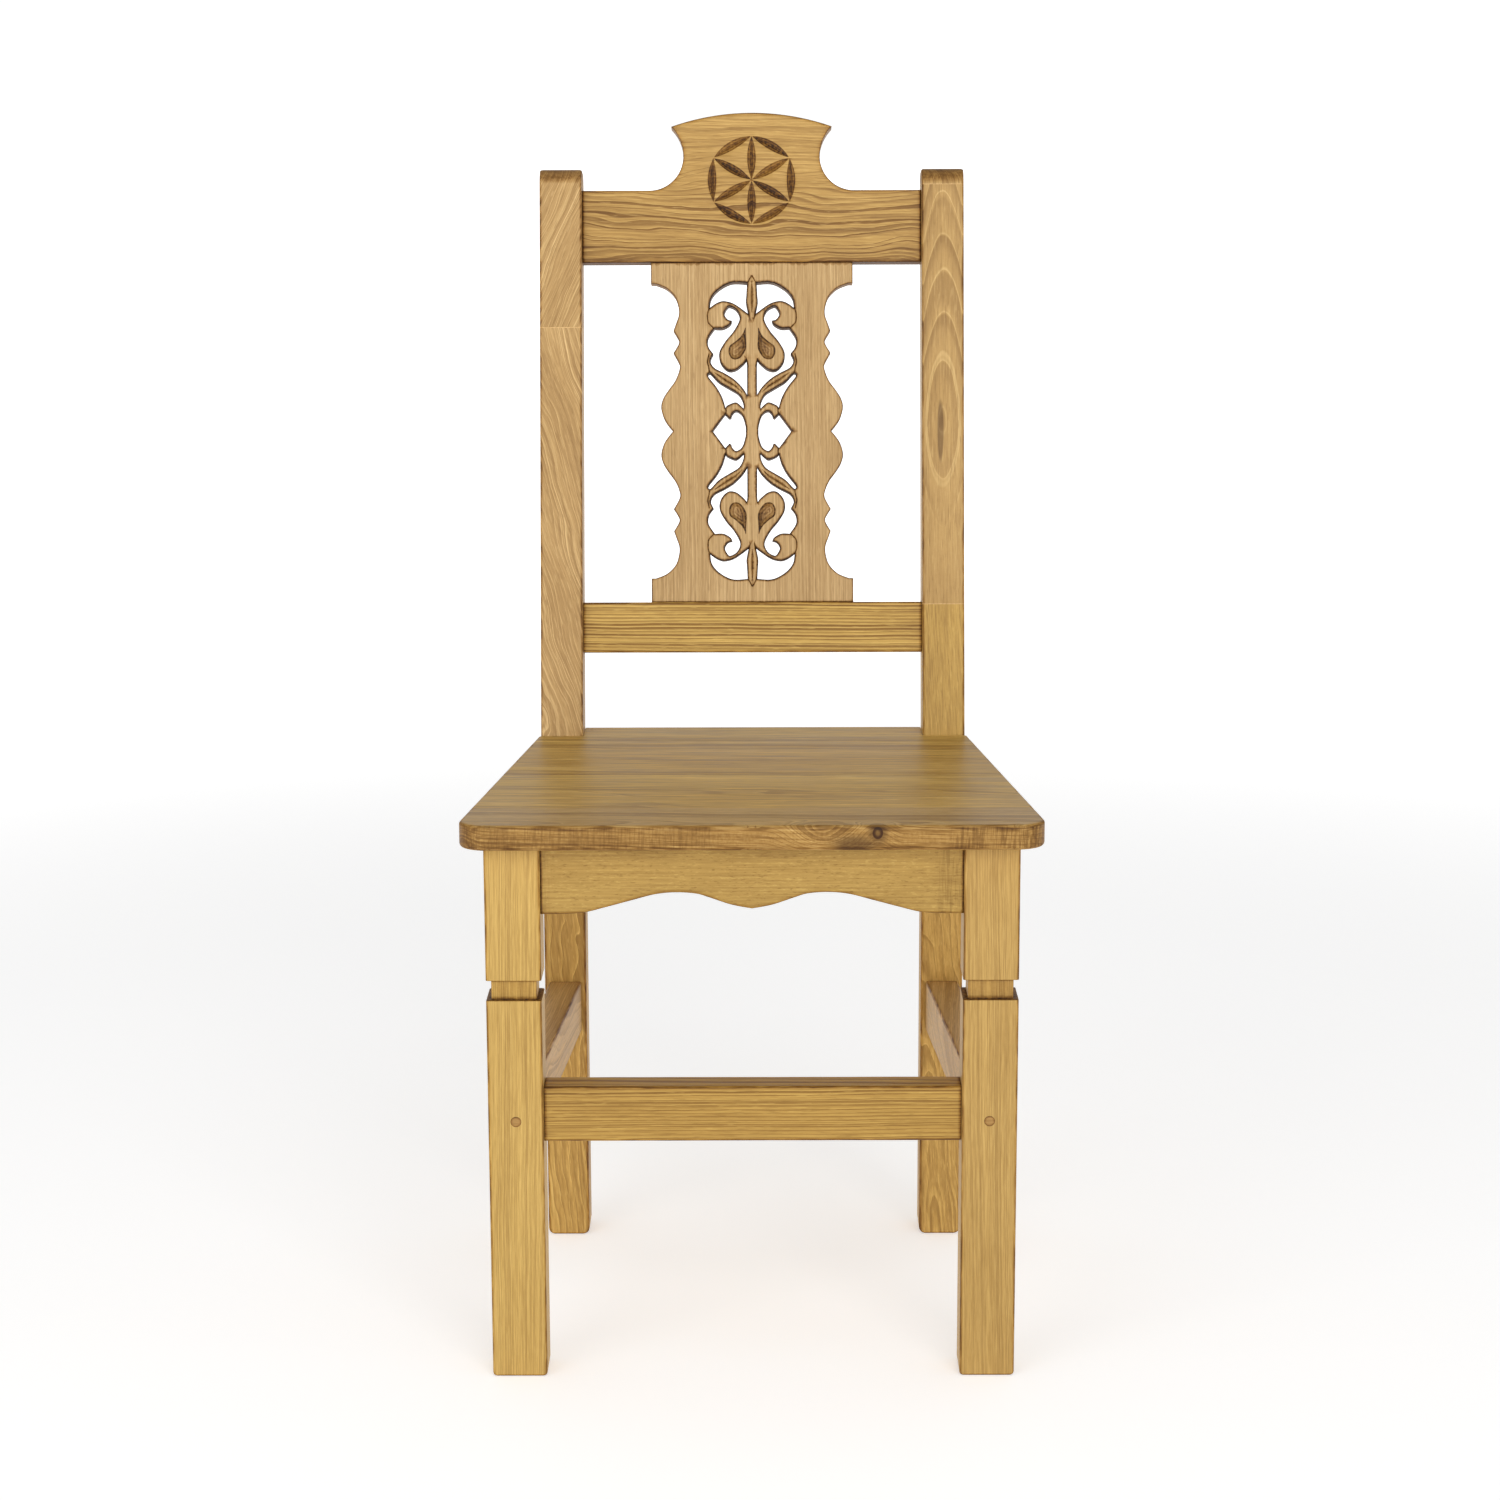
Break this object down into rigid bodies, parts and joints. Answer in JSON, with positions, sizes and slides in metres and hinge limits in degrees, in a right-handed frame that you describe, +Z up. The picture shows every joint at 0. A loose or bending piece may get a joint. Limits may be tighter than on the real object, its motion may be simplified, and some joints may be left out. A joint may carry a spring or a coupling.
{
  "type": "side chair",
  "caption": "Solid pine side chair with a board seat, a raked back with a fretted splat, a carved rosette in the crest rail and tenoned aprons and stretchers.",
  "frame": {"origin": "on the floor, under the middle of the chair's bounding box", "axes": "+X to the right as seen from the front, +Y to the back, +Z up"},
  "size_m": [0.4564, 0.489, 0.996],
  "materials": {
    "waxed_pine": "honey-coloured waxed pine, satin, browner wax in joints and end grain",
    "seat_pine": "waxed pine, duller and browner than the frame, satin",
    "end_grain_pine": "waxed end grain, darker",
    "raw_pine": "unwaxed planed pine",
    "zinc_steel": "zinc-plated steel screws"
  },
  "bodies": {
    "root": {"front_leg_left": "waxed_pine", "front_leg_right": "waxed_pine", "rear_post_left": "waxed_pine", "rear_post_right": "waxed_pine", "crest_rail": "waxed_pine", "back_splat": "waxed_pine", "lower_back_rail": "waxed_pine", "front_apron": "waxed_pine", "rear_apron": "waxed_pine", "side_apron_left": "waxed_pine", "side_apron_right": "waxed_pine", "front_stretcher": "waxed_pine", "side_stretcher_left": "waxed_pine", "side_stretcher_right": "waxed_pine", "seat_board_1": "seat_pine", "seat_board_2": "seat_pine", "seat_board_3": "seat_pine", "seat_board_4": "seat_pine", "seat_board_5": "seat_pine", "seat_board_6": "seat_pine", "plug_front_left": "end_grain_pine", "plug_front_right": "end_grain_pine", "plug_rear_left": "end_grain_pine", "plug_rear_right": "end_grain_pine", "corner_block_front_left": "raw_pine", "corner_block_front_right": "raw_pine", "corner_block_rear_left": "raw_pine", "corner_block_rear_right": "raw_pine", "stretcher_screw_front_left": "zinc_steel", "stretcher_screw_front_right": "zinc_steel", "stretcher_screw_rear_left": "zinc_steel", "stretcher_screw_rear_right": "zinc_steel", "block_screw_front_left_cross": "zinc_steel", "block_screw_front_left_side": "zinc_steel", "block_screw_front_right_cross": "zinc_steel", "block_screw_front_right_side": "zinc_steel", "block_screw_rear_left_cross": "zinc_steel", "block_screw_rear_left_side": "zinc_steel", "block_screw_rear_right_cross": "zinc_steel", "block_screw_rear_right_side": "zinc_steel", "seat_screw_front_left": "zinc_steel", "seat_screw_front_right": "zinc_steel", "seat_screw_rear_left": "zinc_steel", "seat_screw_rear_right": "zinc_steel"}
  },
  "joints": []
}
